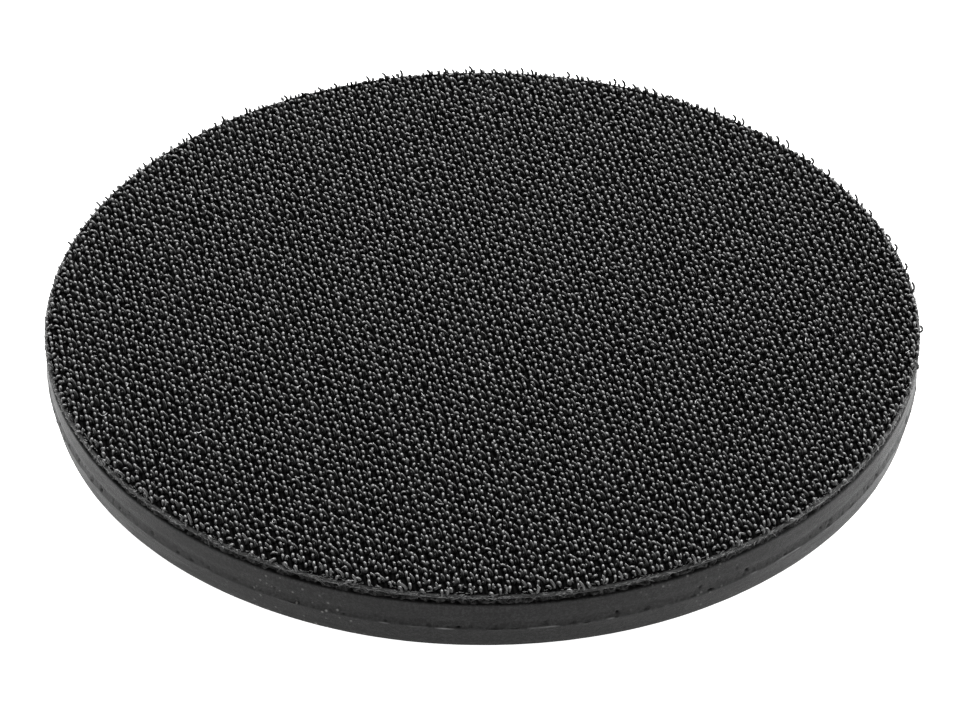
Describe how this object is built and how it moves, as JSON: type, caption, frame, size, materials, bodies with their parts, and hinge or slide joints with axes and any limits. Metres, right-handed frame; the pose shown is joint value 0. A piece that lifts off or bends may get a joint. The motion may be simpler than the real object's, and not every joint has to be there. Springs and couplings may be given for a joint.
{
  "type": "orbital sander backing pad",
  "caption": "Round hook-faced backing pad for an orbital sander: moulded rim, rigid back plate, riveted steel hub and a threaded mounting stud",
  "frame": {"origin": "centre of the hook face, at the height of the hook tips, on the axis of rotation", "axes": "+Z points out of the hook face along the axis of rotation; the stud points to -Z; the first hub rivet lies on +X; +Y completes the right-handed frame"},
  "size_m": [0.1504, 0.1504, 0.0285],
  "materials": {
    "hook_nylon": "black nylon monofilament hooks on a woven ground",
    "bond_film": "black hot-melt film",
    "moulded_polyurethane": "black moulded polyurethane, satin skin with a mould parting line",
    "glass_fibre": "dark glass-fibre laminate",
    "zinced_steel": "zinc-plated pressed and turned steel",
    "rivet_steel": "zinc-plated steel"
  },
  "bodies": {
    "root": {"hook_fabric": "hook_nylon", "bond_layer": "bond_film", "foam_body": "moulded_polyurethane", "fibre_plate": "glass_fibre", "clamp_disc": "zinced_steel", "hub_plate": "zinced_steel", "threaded_stud": "zinced_steel", "hub_rivet_1": "rivet_steel", "hub_rivet_2": "rivet_steel", "hub_rivet_3": "rivet_steel", "hub_rivet_4": "rivet_steel", "hub_rivet_5": "rivet_steel", "hub_rivet_6": "rivet_steel"}
  },
  "joints": []
}
